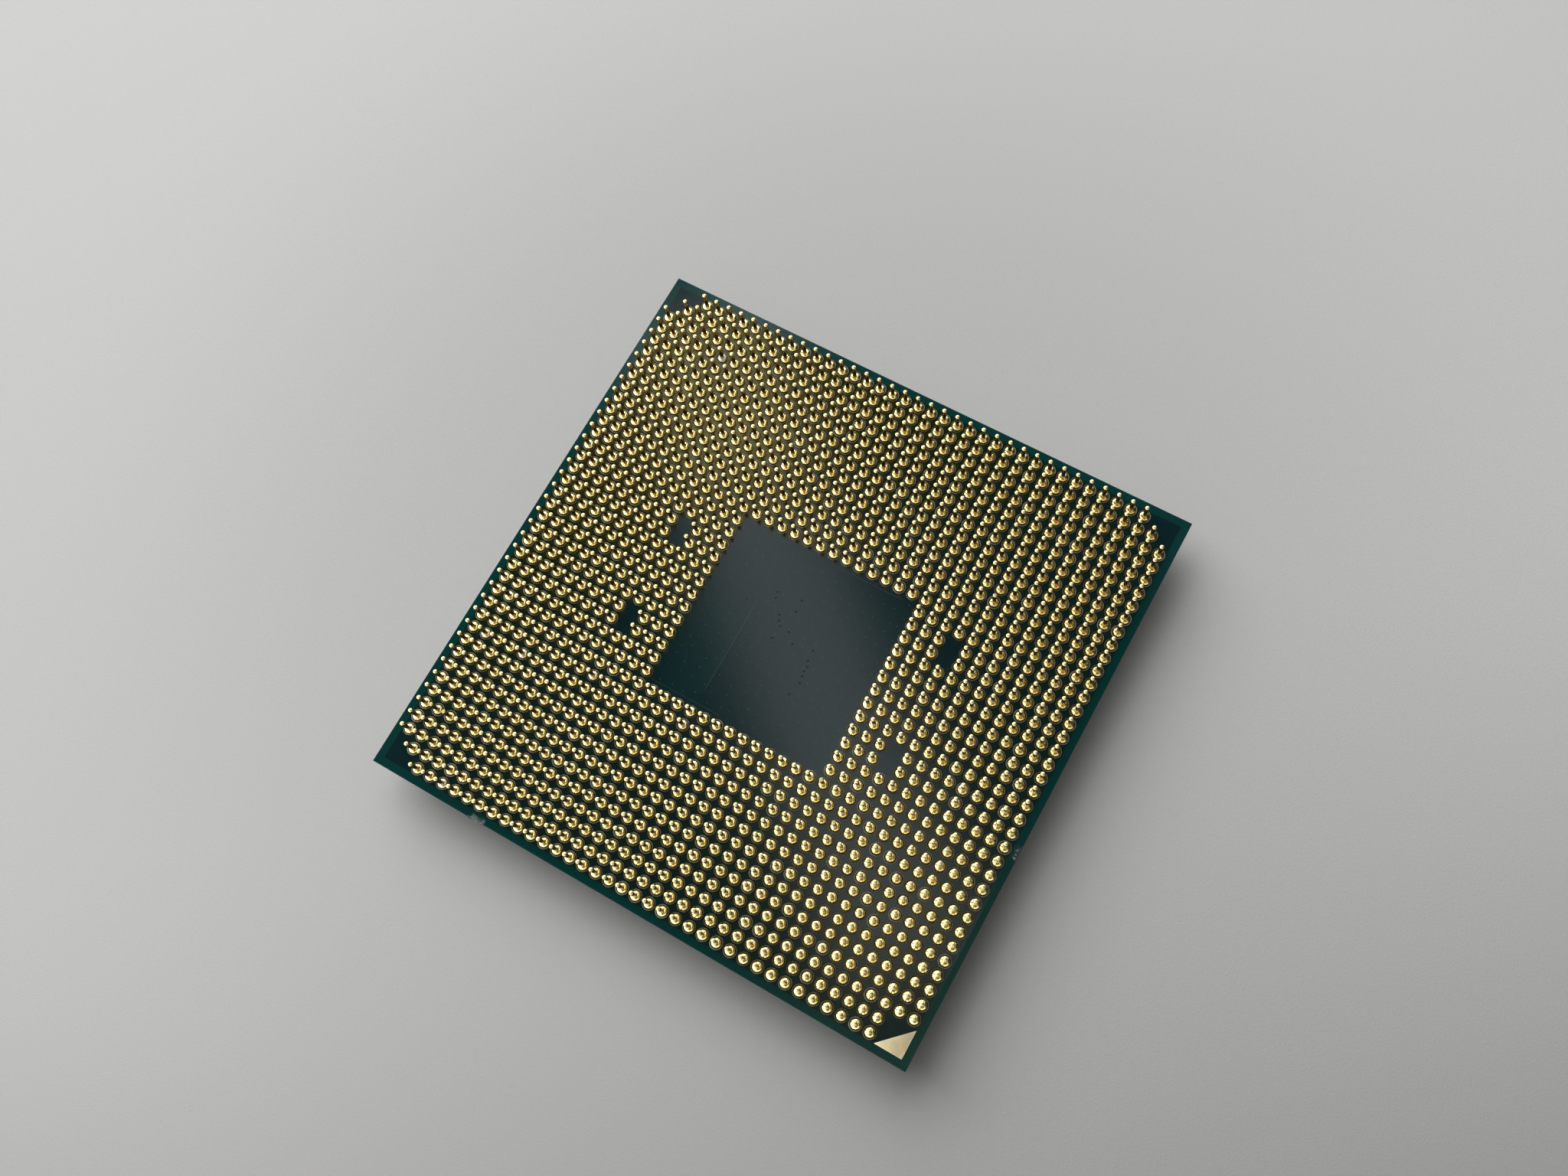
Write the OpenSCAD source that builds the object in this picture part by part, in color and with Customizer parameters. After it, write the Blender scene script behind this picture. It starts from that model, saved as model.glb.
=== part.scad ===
// Desktop processor with a field of contact pins, lying pins up on its heat spreader.
// The origin is the middle of the spreader's outer face. Z runs up along the pins, and X and Y
// follow the board edges, with the pin one marker in the corner at plus X and minus Y.

/* [Board] */
// Thickness of the laminate board
board_t = 1.15; // [0.8:0.05:1.6]
// Distance from the outer rows of pins to the board edges
edge_margin = 1.0; // [0.7:0.05:2]

/* [Pin grid] */
// Distance between neighbouring pins
pin_pitch = 1.0; // [0.96:0.01:1.27]
// Pins along each side of the full grid
pins_per_side = 39; // [35:2:39]
// Pins left out along each side of the bare middle
bare_side = 13; // [9:2:15]
// Pins left out along each edge at the marker corner
marker_clear = 2; // [2:1:3]

/* [Pins] */
// Length of a pin from the board to its tip
pin_l = 1.66; // [1.2:0.02:2.2]
// Diameter of the pin shaft
shaft_d = 0.3; // [0.2:0.01:0.4]
// Size of the chamfer round the flat tip
tip_chamfer = 0.03; // [0.01:0.005:0.08]
// Diameter of the pin head
head_d = 0.7; // [0.55:0.01:0.76]
// Height of the straight rim of the head
rim_h = 0.05; // [0.03:0.01:0.12]
// Rise of the head's dome above its rim
dome_h = 0.11; // [0.04:0.01:0.2]

/* [Pin solder] */
// Width of the solder ring round a pin head
ring_w = 0.09; // [0.04:0.005:0.11]
// Height of the crest of the ring
ring_h = 0.05; // [0.03:0.005:0.09]
// Distance of the crest from the outer edge of the ring
crest_in = 0.03; // [0.01:0.005:0.035]
// Height to which the solder wets the rim of the head
wet_h = 0.02; // [0.01:0.005:0.025]

/* [Pin one marker] */
// Length of the two equal sides of the triangle
marker_leg = 1.95; // [1.2:0.05:2.2]
// Distance from the triangle to the board edges
marker_inset = 0.55; // [0.3:0.05:0.7]
// Thickness of the plated metal
marker_t = 0.03; // [0.02:0.005:0.06]

/* [Heat spreader] */
// Height of the heat spreader
lid_h = 3.0; // [2.6:0.05:3.8]
// Distance from the board edges to the spreader's flange
lid_inset = 1.3; // [0.6:0.05:2.5]
// Thickness of the flange
flange_t = 1.3; // [0.8:0.05:1.6]
// Distance from the flange edge to the raised face
step_w = 1.9; // [1:0.05:2.6]
// Chamfer round the raised face
lid_chamfer = 0.35; // [0.1:0.05:0.8]
// Radius of the flange's corners
flange_r = 1.2; // [0.5:0.1:2.5]
// Radius of the raised face's corners
face_r = 2.4; // [1:0.1:4]
// Width of the foot that stands on the board
foot_w = 3.2; // [2.8:0.05:4]

/* [Lid sealant] */
// Thickness of the sealant under the foot
bead_t = 0.15; // [0.08:0.01:0.3]
// Width of a sealant bead
bead_w = 1.8; // [1:0.05:2.1]
// Distance from the flange edge to a bead
bead_inset = 0.6; // [0.2:0.05:0.7]
// Vent gap between beads at each corner
bead_gap = 2.0; // [0.5:0.1:4]

/* [Die stack] */
// Length of the die
die_l = 22; // [16:0.1:24]
// Width of the die
die_w = 9.6; // [7:0.1:13]
// Thickness of the die
die_t = 0.78; // [0.6:0.01:0.85]
// Height of the bump layer between die and board
bump_h = 0.08; // [0.05:0.005:0.12]
// Spread of the underfill past the die
underfill_spread = 0.6; // [0.2:0.05:1]
// Thickness of the metal that bonds the die to the spreader
bond_t = 0.25; // [0.1:0.01:0.4]
// Spread of the bonding metal past the die
bond_spread = 0.15; // [0:0.05:0.4]

/* [Capacitors] */
// Length of a chip capacitor over its terminals
cap_l = 1.0; // [0.8:0.05:1.2]
// Width of a chip capacitor
cap_w = 0.5; // [0.4:0.05:0.8]
// Height of a chip capacitor
cap_h = 0.5; // [0.3:0.05:0.6]
// Length of a terminal along the capacitor
terminal_l = 0.25; // [0.15:0.01:0.35]
// Thickness of the terminal metal
terminal_t = 0.025; // [0.015:0.005:0.05]
// Distance between neighbouring capacitors
cap_pitch = 2.0; // [1.2:0.05:2.2]
// Distance from the underfill to the capacitors
cap_gap = 1.1; // [0.6:0.05:1.2]
// Capacitors along each long side of the die
caps_long = 10; // [4:1:12]
// Capacitors along each short side of the die
caps_short = 4; // [2:1:5]

/* [Hidden] */
$fn = 32;
// Cuts run this far past the faces that they open
past = 0.5;
// Bands in the dome of a pin head
dome_bands = 3;
// Keying gaps, each as its column and the middle of its two empty places, in steps from the centre
key_gaps = [[-10, 3.5], [-10, -3.5], [10, 4.5], [10, -3.5]];
// Steps from the middle of a keying gap to the next pins along its column
key_reach = 1.5;
// Places that are fewer steps than this from a corner of the grid are empty
corner_steps = 2;

grid_half = (pins_per_side - 1) / 2;
bare_half = (bare_side - 1) / 2;
board_w = (pins_per_side - 1) * pin_pitch + 2 * edge_margin;
lid_w = board_w - 2 * lid_inset;
face_w = lid_w - 2 * step_w;
cavity_w = lid_w - 2 * foot_w;
cavity_d = bump_h + die_t + bond_t - bead_t;
board_z = lid_h + bead_t;
pin_z = board_z + board_t;
head_r = head_d / 2;
shaft_r = shaft_d / 2;
ring_r = head_r + ring_w;
die_z = board_z - bump_h - die_t;
body_w = cap_w - 2 * terminal_t;
body_h = cap_h - 2 * terminal_t;
body_l = cap_l - 2 * terminal_t;

laminate = [0.02, 0.27, 0.24];
gold = [0.86, 0.7, 0.28];
pale_gold = [0.82, 0.73, 0.53];
solder_grey = [0.55, 0.52, 0.46];
nickel = [0.72, 0.72, 0.7];
sealant_black = [0.12, 0.12, 0.13];
silicon = [0.35, 0.37, 0.42];
bond_metal = [0.66, 0.67, 0.7];
epoxy = [0.2, 0.18, 0.16];
cap_brown = [0.5, 0.38, 0.28];
tin = [0.75, 0.75, 0.74];

function in_bare_middle(c, r) = max(abs(c), abs(r)) <= bare_half;
function at_corner(c, r) = 2 * grid_half - abs(c) - abs(r) < corner_steps;
function at_marker(c, r) = min(c, -r) > grid_half - marker_clear;
function in_key_gap(c, r) =
    len([for (k = key_gaps) if (c == k[0] && abs(r - k[1]) < key_reach) k]) > 0;
function has_pin(c, r) =
    !(in_bare_middle(c, r) || at_corner(c, r) || at_marker(c, r) || in_key_gap(c, r));
function pin_columns(r) = [for (c = [-grid_half : grid_half]) if (has_pin(c, r)) c];
function row_name(n) = str("pin_row_", n < 10 ? "0" : "", n);

module block(size, z) {
    translate([-size[0] / 2, -size[1] / 2, z]) cube(size);
}

// A square prism with round corners, standing on z
module rounded_block(w, r, h, z) {
    translate([0, 0, z]) union() {
        for (turn = [0, 90])
            rotate([0, 0, turn]) block([w, w - 2 * r, h], 0);
        for (x = [-1, 1], y = [-1, 1])
            translate([x * (w / 2 - r), y * (w / 2 - r), 0]) cylinder(r = r, h = h);
    }
}

module board() {
    color(laminate) block([board_w, board_w, board_t], board_z);
}

module pin_one_marker() {
    corner = board_w / 2 - marker_inset;
    color(pale_gold)
        translate([corner, -corner, pin_z])
            linear_extrude(height = marker_t)
                polygon([[0, 0], [0, marker_leg], [-marker_leg, 0]]);
}

// One nail-headed pin: a domed head, a shaft and a flat tip with a small chamfer
module pin() {
    dome = [
        for (b = [0 : dome_bands])
            let (a = 90 * b / dome_bands)
                [shaft_r + (head_r - shaft_r) * cos(a), rim_h + dome_h * sin(a)]
    ];
    rotate_extrude()
        polygon(concat(
            [[0, 0], [head_r, 0]],
            dome,
            [[shaft_r, pin_l - tip_chamfer], [shaft_r - tip_chamfer, pin_l], [0, pin_l]]
        ));
}

// The row is counted from the back edge of the board
module pin_row(n) {
    r = grid_half + 1 - n;
    color(gold)
        for (c = pin_columns(r))
            translate([c * pin_pitch, r * pin_pitch, pin_z]) pin();
}

// The ring of solder that a pin head sits in, with a crest between head and board
module solder_ring() {
    rotate_extrude()
        polygon([
            [head_r, 0],
            [ring_r, 0],
            [ring_r - crest_in, ring_h],
            [head_r, wet_h]
        ]);
}

// Solder rings of the columns from first to last, in the rows from low to high
module solder_bank(first, last, low, high) {
    color(solder_grey)
        for (r = [low : high])
            for (c = pin_columns(r))
                if (c >= first && c <= last)
                    translate([c * pin_pitch, r * pin_pitch, pin_z]) solder_ring();
}

module pin_solder_back() {
    solder_bank(-grid_half, grid_half, bare_half + 1, grid_half);
}

module pin_solder_front() {
    solder_bank(-grid_half, grid_half, -grid_half, -bare_half - 1);
}

module pin_solder_left() {
    solder_bank(-grid_half, -bare_half - 1, -bare_half, bare_half);
}

module pin_solder_right() {
    solder_bank(bare_half + 1, grid_half, -bare_half, bare_half);
}

// The spreader's outline from the side, as a prism across the whole width
module lid_profile() {
    h = lid_w / 2;
    f = face_w / 2;
    step_z = lid_h - flange_t;
    rotate([90, 0, 0])
        translate([0, 0, -h])
            linear_extrude(height = lid_w)
                polygon([
                    [-f + lid_chamfer, 0], [f - lid_chamfer, 0], [f, lid_chamfer], [f, step_z],
                    [h, step_z], [h, lid_h], [-h, lid_h], [-h, step_z], [-f, step_z], [-f, lid_chamfer]
                ]);
}

module heat_spreader() {
    color(nickel)
        difference() {
            intersection() {
                lid_profile();
                rotate([0, 0, 90]) lid_profile();
                union() {
                    rounded_block(face_w, face_r, lid_h, 0);
                    rounded_block(lid_w, flange_r, flange_t, lid_h - flange_t);
                }
            }
            block([cavity_w, cavity_w, cavity_d + past], lid_h - cavity_d);
        }
}

// Four straight beads under the foot, with a vent at each corner
module lid_sealant() {
    reach = lid_w / 2 - bead_inset - bead_w / 2;
    run = lid_w - 2 * (bead_inset + bead_w + bead_gap);
    color(sealant_black)
        for (turn = [0 : 90 : 270])
            rotate([0, 0, turn])
                translate([0, reach, 0])
                    block([run, bead_w, bead_t], lid_h);
}

module die() {
    color(silicon) block([die_l, die_w, die_t], die_z);
}

module die_underfill() {
    s = 2 * underfill_spread;
    color(epoxy) block([die_l + s, die_w + s, bump_h], board_z - bump_h);
}

module die_bond() {
    s = 2 * bond_spread;
    color(bond_metal) block([die_l + s, die_w + s, bond_t], die_z - bond_t);
}

// Puts its children at each capacitor's place, with X along the capacitor
module at_capacitors() {
    out_long = die_w / 2 + underfill_spread + cap_gap + cap_l / 2;
    out_short = die_l / 2 + underfill_spread + cap_gap + cap_l / 2;
    for (side = [-1, 1]) {
        for (k = [0 : caps_long - 1])
            translate([(k - (caps_long - 1) / 2) * cap_pitch, side * out_long, board_z - cap_h])
                rotate([0, 0, 90]) children();
        for (k = [0 : caps_short - 1])
            translate([side * out_short, (k - (caps_short - 1) / 2) * cap_pitch, board_z - cap_h])
                children();
    }
}

module capacitor_body() {
    block([body_l, body_w, body_h], terminal_t);
}

module capacitor_bodies() {
    color(cap_brown) at_capacitors() capacitor_body();
}

// A terminal is a cup of metal over one end of the body
module capacitor_terminals() {
    color(tin)
        at_capacitors()
            for (end = [-1, 1])
                difference() {
                    translate([end * (cap_l - terminal_l) / 2, 0, 0])
                        block([terminal_l, cap_w, cap_h], 0);
                    capacitor_body();
                }
}

board();
pin_one_marker();
heat_spreader();
lid_sealant();
die();
die_underfill();
die_bond();
capacitor_bodies();
capacitor_terminals();
pin_solder_back();
pin_solder_front();
pin_solder_left();
pin_solder_right();
for (n = [1 : pins_per_side])
    pin_row(n);
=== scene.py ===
"""Finish and stage of a desktop processor that lies pins up on its heat spreader."""
import math
import random

import bmesh
import bpy
from bpy.props import FloatProperty, FloatVectorProperty, IntProperty, PointerProperty
from mathutils import Matrix, Vector


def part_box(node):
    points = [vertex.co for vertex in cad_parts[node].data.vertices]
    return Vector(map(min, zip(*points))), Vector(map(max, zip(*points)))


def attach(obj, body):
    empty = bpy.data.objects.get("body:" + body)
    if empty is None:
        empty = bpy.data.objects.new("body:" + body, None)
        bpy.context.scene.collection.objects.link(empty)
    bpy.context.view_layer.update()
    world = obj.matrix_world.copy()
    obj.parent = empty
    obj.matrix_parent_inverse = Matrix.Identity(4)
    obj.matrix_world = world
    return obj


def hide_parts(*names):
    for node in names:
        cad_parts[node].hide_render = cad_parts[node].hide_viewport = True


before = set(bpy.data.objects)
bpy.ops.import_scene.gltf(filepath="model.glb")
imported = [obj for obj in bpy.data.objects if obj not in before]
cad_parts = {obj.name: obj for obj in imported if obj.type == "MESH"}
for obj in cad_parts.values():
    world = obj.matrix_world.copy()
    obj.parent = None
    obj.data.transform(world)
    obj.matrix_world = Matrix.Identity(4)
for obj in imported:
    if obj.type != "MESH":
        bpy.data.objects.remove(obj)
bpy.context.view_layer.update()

bl_info = {
    "name": "Desktop processor",
    "version": (1, 0, 0),
    "blender": (4, 5, 0),
    "location": "View3D > Sidebar > Processor",
    "description": "Dresses the packed processor and sets its stage",
    "category": "Object",
}

MM = 0.001
BOARD_LOW, BOARD_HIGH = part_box("board")
BOARD_HALF = BOARD_HIGH.x
PIN_SIDE = BOARD_HIGH.z
PIN_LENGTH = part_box("pin_row_01")[1].z - PIN_SIDE

# The pin grid of the part's source: steps from the centre, counted along X and Y
PITCH = 1.0 * MM
GRID_HALF = 19
BARE_HALF = 6
HALF_STEP = 0.5
CORNER_STEPS = 2
MARKER_CLEAR = 2
KEY_REACH = 1.5
KEY_GAPS = ((-10, 3.5), (-10, -3.5), (10, 4.5), (10, -3.5))

# Small pits in the mask of the bare middle, in millimetres from the board's centre
MASK_PITS = (
    (-2.0, 2.88), (-1.9, 2.44), (-1.1, 1.53), (-0.91, 1.18), (-0.67, 0.9), (0.04, 0.79),
    (0.66, 0.19), (2.09, 0.44), (2.13, -0.32), (2.29, -0.71), (2.24, -1.07), (2.3, -1.43),
    (2.4, -1.88), (2.14, -2.88), (-0.75, -0.09), (-0.27, 3.11), (-0.24, 2.24), (-3.62, 1.47),
)

# Pins whose heads solder has run over: steps from the centre along X and Y, and how much
COATED_PINS = (
    (-14, 16, 1.0), (-18, -9, 0.5), (-15, -9, 0.5), (-15, -19, 0.6), (-10, -8, 0.5), (-3, -8, 0.5),
)

# Marks in the mask, in millimetres. An edge or end gives where a mark starts and where it has faded.
COPPER_BLUR = 0.08
PIT_EDGE = (0.02, 0.085)
PIT_TONE = (0.0, 0.001, 0.001)
LINE_X, LINE_Y = -2.93, -1.8
LINE_EDGE = (0.02, 0.07)
LINE_END = (3.0, 4.0)
SEAMS = ((3.0, 6.32), (-3.8, -6.32))
SEAM_HALF = 2.6
SEAM_EDGE = (0.015, 0.05)
SPECK_SCATTER = {"Scale": 1.15, "Randomness": 0.5}
SPECK_EDGE = (0.03, 0.08)
PALE_RIGHT = (-3.1, -2.8)
PALE_BACK = (-2.0, 4.0)
# Painted sheen: a golden tint over the mask between the pins, fading from the back left, stands in for
# gold light reflected there
SHEEN_EDGE = (-20.0, 2.0)

# How much each mark changes the colour of the mask
PALE_SHARE = 0.14
LINE_SHARE = 0.05
SPECK_SHARE = 0.1
PIT_SHARE = 0.75
CHIP_SHARE = 0.8

# Chips in the right and front edges of the board, in millimetres along the edge, and scuffed mask there
RIGHT_CHIP, RIGHT_REACH, RIGHT_CUTS = -4.9, 0.5, 6
FRONT_CHIP, FRONT_REACH, FRONT_CUTS = -11.85, 0.75, 8
CHIP_END = 0.05
CUT_STRAY = 0.04
RIGHT_CHIP_IN, RIGHT_CHIP_DOWN = (0.02, 0.14), (0.0, 0.08)
FRONT_CHIP_IN, FRONT_CHIP_DOWN = (-0.05, 0.05), (0.0, 0.04)
RIGHT_SCUFF_EDGE, RIGHT_SCUFF_END = (0.32, 0.2), (0.4, 0.5)
FRONT_SCUFF, FRONT_SCUFF_EDGE, FRONT_SCUFF_END = -11.8, (0.1, 0.02), (0.7, 0.9)
LAYER_PITCH = 0.115

# Bands of the gold plate and the solder, in millimetres from a pin's foot, axis or tip, and of the
# marker, from its edges
COAT_EDGE = (0.45, 0.55)
# The shaft band gives where the painted shade on the shafts starts
SHAFT_FOOT = (0.14, 0.36)
TIP_BAND = (0.045, 0.03)
# The head bands bound the bright dome; inside and outside them the gold is painted with shade
HEAD_INNER = (0.145, 0.18)
HEAD_OUTER = (0.31, 0.345)
# The crest band gives where the painted shade of the crevice gives way to plain solder
CREST_EDGE = (0.375, 0.405)
RIM_HIGHLIGHT_EDGE = (0.03, 0.07)

# Painted shade on the heads toward the back right: where along X plus Y, in millimetres, and how much
BACK_SHADE_REACH = (4.0, 30.0)
BACK_SHADE_SHARE = 0.35
COAT_SHARE = 0.9

# Outline of a pin's dome as shares of the head's radius and of the dome's rise, and the width of the
# tip's end as a share of the shaft's
DOME_STEPS = ((0.965, 0.0), (0.87, 0.45), (0.65, 0.79))
TIP_SHARE = 0.64

# Outline of a solder ring: its inner wall as a share of the head, the rest as shares of its own width
# and crest, and the spread of its height and width
RING_INNER = 0.97
RING_CREST = 0.22
RING_DIP, RING_DIP_RISE = 0.45, 0.2
RING_WALL_RISE = 0.5
RING_TALL = (0.75, 1.1)
RING_WIDE = (0.98, 1.01)

# Plain finishes: darkest and palest share of the colour, roughness, grain per millimetre and its depth.
# The stretch of a grain is along X, Y and Z, and a mottle runs between two levels of its noise.
FINISHES = {
    "nickel_plate": (0.9, 1.08, 0.3, 5.0, 0.004),
    "lid_sealant": (0.7, 1.6, 0.5, 6.0, 0.02),
    "die_silicon": (0.92, 1.06, 0.14, 14.0, 0.001),
    "die_underfill": (0.75, 1.35, 0.34, 8.0, 0.008),
    "bond_metal": (0.86, 1.1, 0.42, 6.0, 0.01),
    "capacitor_ceramic": (0.85, 1.2, 0.5, 20.0, 0.004),
    "capacitor_tin": (0.85, 1.1, 0.36, 14.0, 0.008),
}
EVEN_GRAIN = (1.0, 1.0, 1.0)
LONG_GRAIN = (0.25, 6.0, 1.0)
LAID_GRAIN = (1.0, 1.0, 6.0)
MOTTLE = (0.3, 0.7)

# Seeds of the random draws
CHIP_SEED, PIN_SEED, RING_SEED = 7, 39, 4

# A face whose normal rises less than this is a side wall, and an edge with a larger angle is rounded
WALL_RISE = 0.3
CORNER_ANGLE = math.radians(40)

# Half width of the floor in metres, width of the sensor in millimetres and the camera's nearest sight
FLOOR_HALF = 2.0
SENSOR = 36.0
NEAREST = 2.0 * MM

BLACK = (0.0, 0.0, 0.0)
UP = Vector((0.0, 0.0, 1.0))


def colour(name, description, default):
    """A colour that the user can change, as linear red, green and blue."""
    return FloatVectorProperty(
        name=name, description=description, default=default, subtype="COLOR", size=3, min=0.0, max=1.0
    )


def length(name, description, default):
    """A length that the user can change, given here in millimetres."""
    return FloatProperty(
        name=name, description=description, default=default * MM, min=0.0, unit="LENGTH", precision=5
    )


def place(name, description, default):
    """A point that the user can change, given here in millimetres."""
    return FloatVectorProperty(
        name=name,
        description=description,
        default=[value * MM for value in default],
        size=3,
        subtype="TRANSLATION",
        unit="LENGTH",
    )


def heading(name, description, default):
    """A direction that the user can change."""
    return FloatVectorProperty(
        name=name, description=description, default=default, size=3, subtype="DIRECTION"
    )


def amount(name, description, default):
    """A plain number that the user can change."""
    return FloatProperty(name=name, description=description, default=default, min=0.0)


def angle(name, description, default):
    """An angle that the user can change, given here in degrees."""
    return FloatProperty(
        name=name, description=description, default=math.radians(default), subtype="ANGLE"
    )


class BoardLook(bpy.types.PropertyGroup):
    """Sizes and colours of the board and its marker."""

    mask: colour("Mask", "Solder mask over bare laminate, along the edges", (0.0, 0.034, 0.031))
    plane: colour("Mask over copper", "Solder mask over the copper plane", (0.001, 0.015, 0.017))
    field: colour("Pin field", "Solder mask between the pins, dulled by flux", (0.004, 0.017, 0.014))
    # Painted sheen: a thin clear coat whose tint makes the mask between the pins golden, as if lit by
    # the gold pins
    sheen_tint: colour("Film", "Tint of the thin flux film between the pins", (1.0, 0.84, 0.34))
    laminate: colour("Laminate", "Cut edge of the laminate", (0.035, 0.05, 0.032))
    layer: colour("Layer line", "Resin lines between the layers at the cut edge", (0.11, 0.1, 0.06))
    chip: colour("Chipped mask", "Pale mask where the edge is chipped", (0.17, 0.25, 0.24))
    marker: colour("Marker", "Plated triangle in the marker corner", (0.77, 0.68, 0.43))
    # Painted highlight: a pale rim along the marker's edges, where its edges catch the light
    rim_highlight: colour("Marker rim", "Bright rim of the plated triangle", (0.85, 0.79, 0.63))
    border: length("Border", "Width of the strip without copper along the edges", 0.55)
    margin: length("Margin", "Width of the strip along the edges that chips reach into", 0.4)
    edge: length("Edge", "Rounding of the board's edges", 0.03)
    marker_edge: length("Marker edge", "Rounding of the marker's edges", 0.012)


class PinLook(bpy.types.PropertyGroup):
    """Sizes and colours of the pins and their solder."""

    gold: colour("Gold", "Gold plate of the pins", (1.0, 0.96, 0.5))
    deep_gold: colour("Deep gold", "Gold plate where it is thickest", (0.98, 0.88, 0.38))
    # Painted shade: darker gold on the steep rim of each head and at the foot of the shaft, standing in
    # for the darker surroundings they reflect
    flank_shade: colour("Flank gold", "Dull gold plate at the foot of heads and shafts", (0.5, 0.33, 0.06))
    # Painted shade: the shafts' dark gold stands in for the dark surroundings that they reflect
    shade: colour("Shaft gold", "Dull gold plate of the shafts", (0.28, 0.175, 0.032))
    tip_gold: colour("Tip gold", "Bare bright plate at the tips", (0.82, 0.7, 0.37))
    coated: colour("Coated gold", "Pin heads that solder has run over", (0.62, 0.6, 0.56))
    solder: colour("Solder", "Solder rings", (0.2, 0.185, 0.14))
    # Painted shade: near-black solder in the crevice round each head, where shade falls
    crevice_shade: colour("Crevice", "Dull solder in the crevice round a head", (0.02, 0.015, 0.006))
    sides: IntProperty(name="Sides", description="Faces round a pin", default=12, min=6, max=24)
    head: length("Head", "Radius of a pin head", 0.352)
    rim: length("Rim", "Height of the steep rim of a head", 0.06)
    dome: length("Dome", "Rise of a head above its rim", 0.09)
    shaft: length("Shaft", "Radius of a pin shaft", 0.142)
    tip: length("Tip", "Height of the rounding at a pin's tip", 0.04)
    ring: length("Ring", "Outer radius of a solder ring", 0.46)
    crest: length("Crest", "Height of a solder ring", 0.03)
    lean: angle("Lean", "Typical lean of a pin from upright", 0.35)
    vary: amount("Vary", "Spread of the pins' width", 0.015)


class LidLook(bpy.types.PropertyGroup):
    """Sizes and colours of the heat spreader and of the pieces under it."""

    nickel: colour("Nickel", "Nickel plate of the spreader", (0.62, 0.61, 0.58))
    sealant: colour("Sealant", "Sealant beads under the spreader", (0.014, 0.014, 0.016))
    silicon: colour("Silicon", "Back of the die", (0.14, 0.15, 0.18))
    underfill: colour("Underfill", "Epoxy under the die", (0.05, 0.035, 0.022))
    bond: colour("Bond metal", "Soft metal between die and spreader", (0.55, 0.56, 0.58))
    ceramic: colour("Ceramic", "Capacitor bodies", (0.24, 0.14, 0.07))
    tin: colour("Tin", "Capacitor terminals", (0.66, 0.65, 0.63))
    flange: length("Flange", "Thickness of the flange", 1.3)
    step: length("Step", "Distance from the flange edge to the raised face", 1.9)
    chamfer: length("Chamfer", "Chamfer round the raised face", 0.35)
    flange_round: length("Flange corner", "Radius of the flange's corners", 1.2)
    face_round: length("Face corner", "Radius of the raised face's corners", 2.4)
    foot: length("Foot", "Width of the foot on the board", 3.2)
    cavity: length("Cavity", "Depth of the cavity over the die", 0.96)
    cavity_round: length("Cavity corner", "Radius of the cavity's corners", 0.3)
    edge: length("Edge", "Rounding of the spreader's edges", 0.08)


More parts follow.
